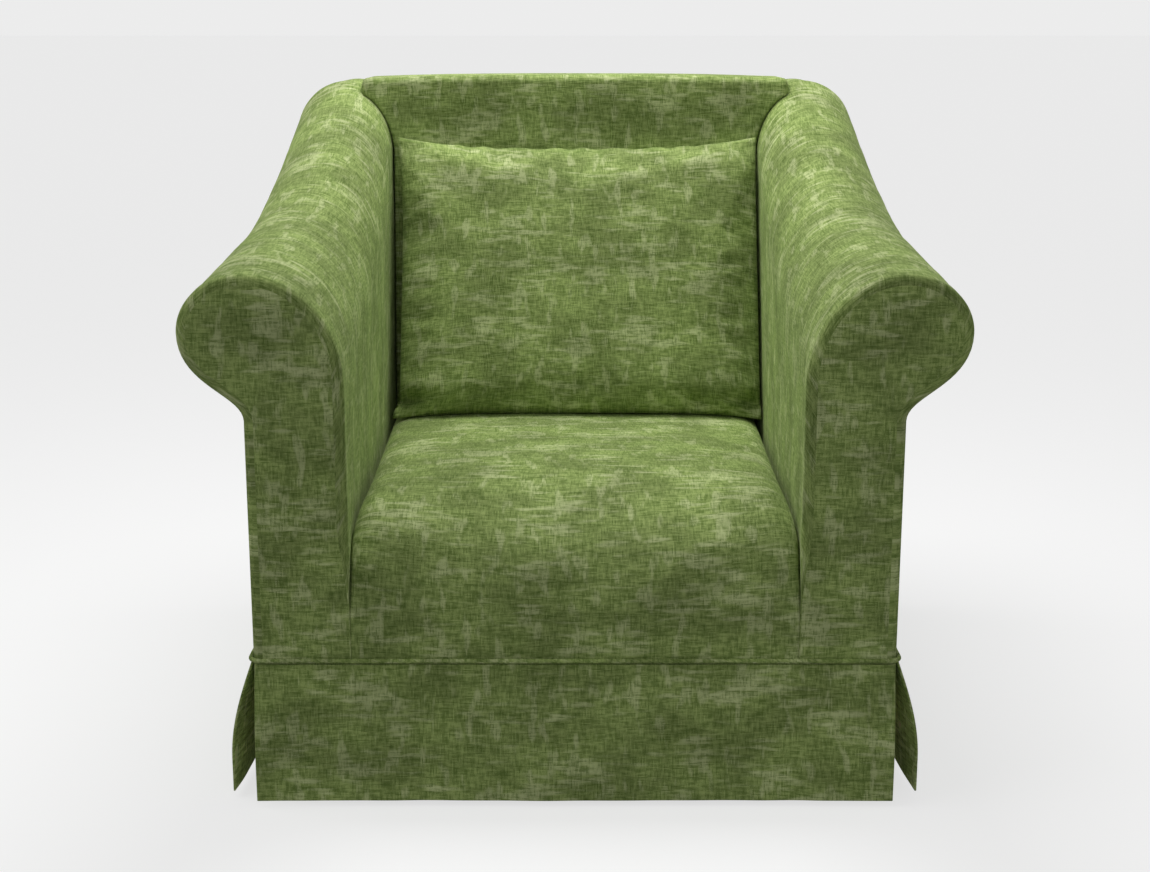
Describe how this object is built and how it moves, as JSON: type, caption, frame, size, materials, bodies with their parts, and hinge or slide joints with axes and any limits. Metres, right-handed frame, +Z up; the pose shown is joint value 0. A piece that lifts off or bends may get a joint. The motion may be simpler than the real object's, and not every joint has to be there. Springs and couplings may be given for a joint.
{
  "type": "skirted roll-arm armchair",
  "caption": "Green fabric armchair with scooped rolled arms, a rounded sprung seat, a loose knife-edge back cushion and a flared skirt split at its corners, on a hardwood frame.",
  "frame": {"origin": "on the floor, under the middle of the bounding box", "axes": "+X towards the sitter's left (the right of the chair seen from in front), -Y the way the chair faces, +Z up"},
  "size_m": [0.996, 0.9648, 0.912],
  "materials": {
    "upholstery": "slubbed moss-green weave with a low nap, unevenly rubbed",
    "hardwood": "sawn and sanded beech, unfinished",
    "spring_steel": "drawn wire and folded strip",
    "webbing": "woven strap",
    "cambric": "thin black cloth",
    "nylon": "moulded"
  },
  "bodies": {
    "root": {"left_arm_upholstery": "upholstery", "right_arm_upholstery": "upholstery", "seat_upholstery": "upholstery", "inside_back_upholstery": "upholstery", "outside_back_panel": "upholstery", "back_cushion": "upholstery", "front_skirt": "upholstery", "rear_skirt": "upholstery", "left_skirt": "upholstery", "right_skirt": "upholstery", "skirt_welt": "upholstery", "front_seat_rail": "hardwood", "rear_seat_rail": "hardwood", "left_seat_rail": "hardwood", "right_seat_rail": "hardwood", "left_front_post": "hardwood", "right_front_post": "hardwood", "left_back_post": "hardwood", "right_back_post": "hardwood", "lower_back_rail": "hardwood", "top_back_rail": "hardwood", "left_arm_rail": "hardwood", "right_arm_rail": "hardwood", "left_arm_stretcher": "hardwood", "right_arm_stretcher": "hardwood", "left_front_corner_block": "hardwood", "right_front_corner_block": "hardwood", "left_rear_corner_block": "hardwood", "right_rear_corner_block": "hardwood", "left_front_leg": "hardwood", "right_front_leg": "hardwood", "left_rear_leg": "hardwood", "right_rear_leg": "hardwood", "seat_spring_1": "spring_steel", "seat_spring_2": "spring_steel", "seat_spring_3": "spring_steel", "seat_spring_4": "spring_steel", "front_spring_clip_1": "spring_steel", "front_spring_clip_2": "spring_steel", "front_spring_clip_3": "spring_steel", "front_spring_clip_4": "spring_steel", "rear_spring_clip_1": "spring_steel", "rear_spring_clip_2": "spring_steel", "rear_spring_clip_3": "spring_steel", "rear_spring_clip_4": "spring_steel", "back_webbing_1": "webbing", "back_webbing_2": "webbing", "back_webbing_3": "webbing", "dust_cover": "cambric", "left_front_glide": "nylon", "right_front_glide": "nylon", "left_rear_glide": "nylon", "right_rear_glide": "nylon"}
  },
  "joints": []
}
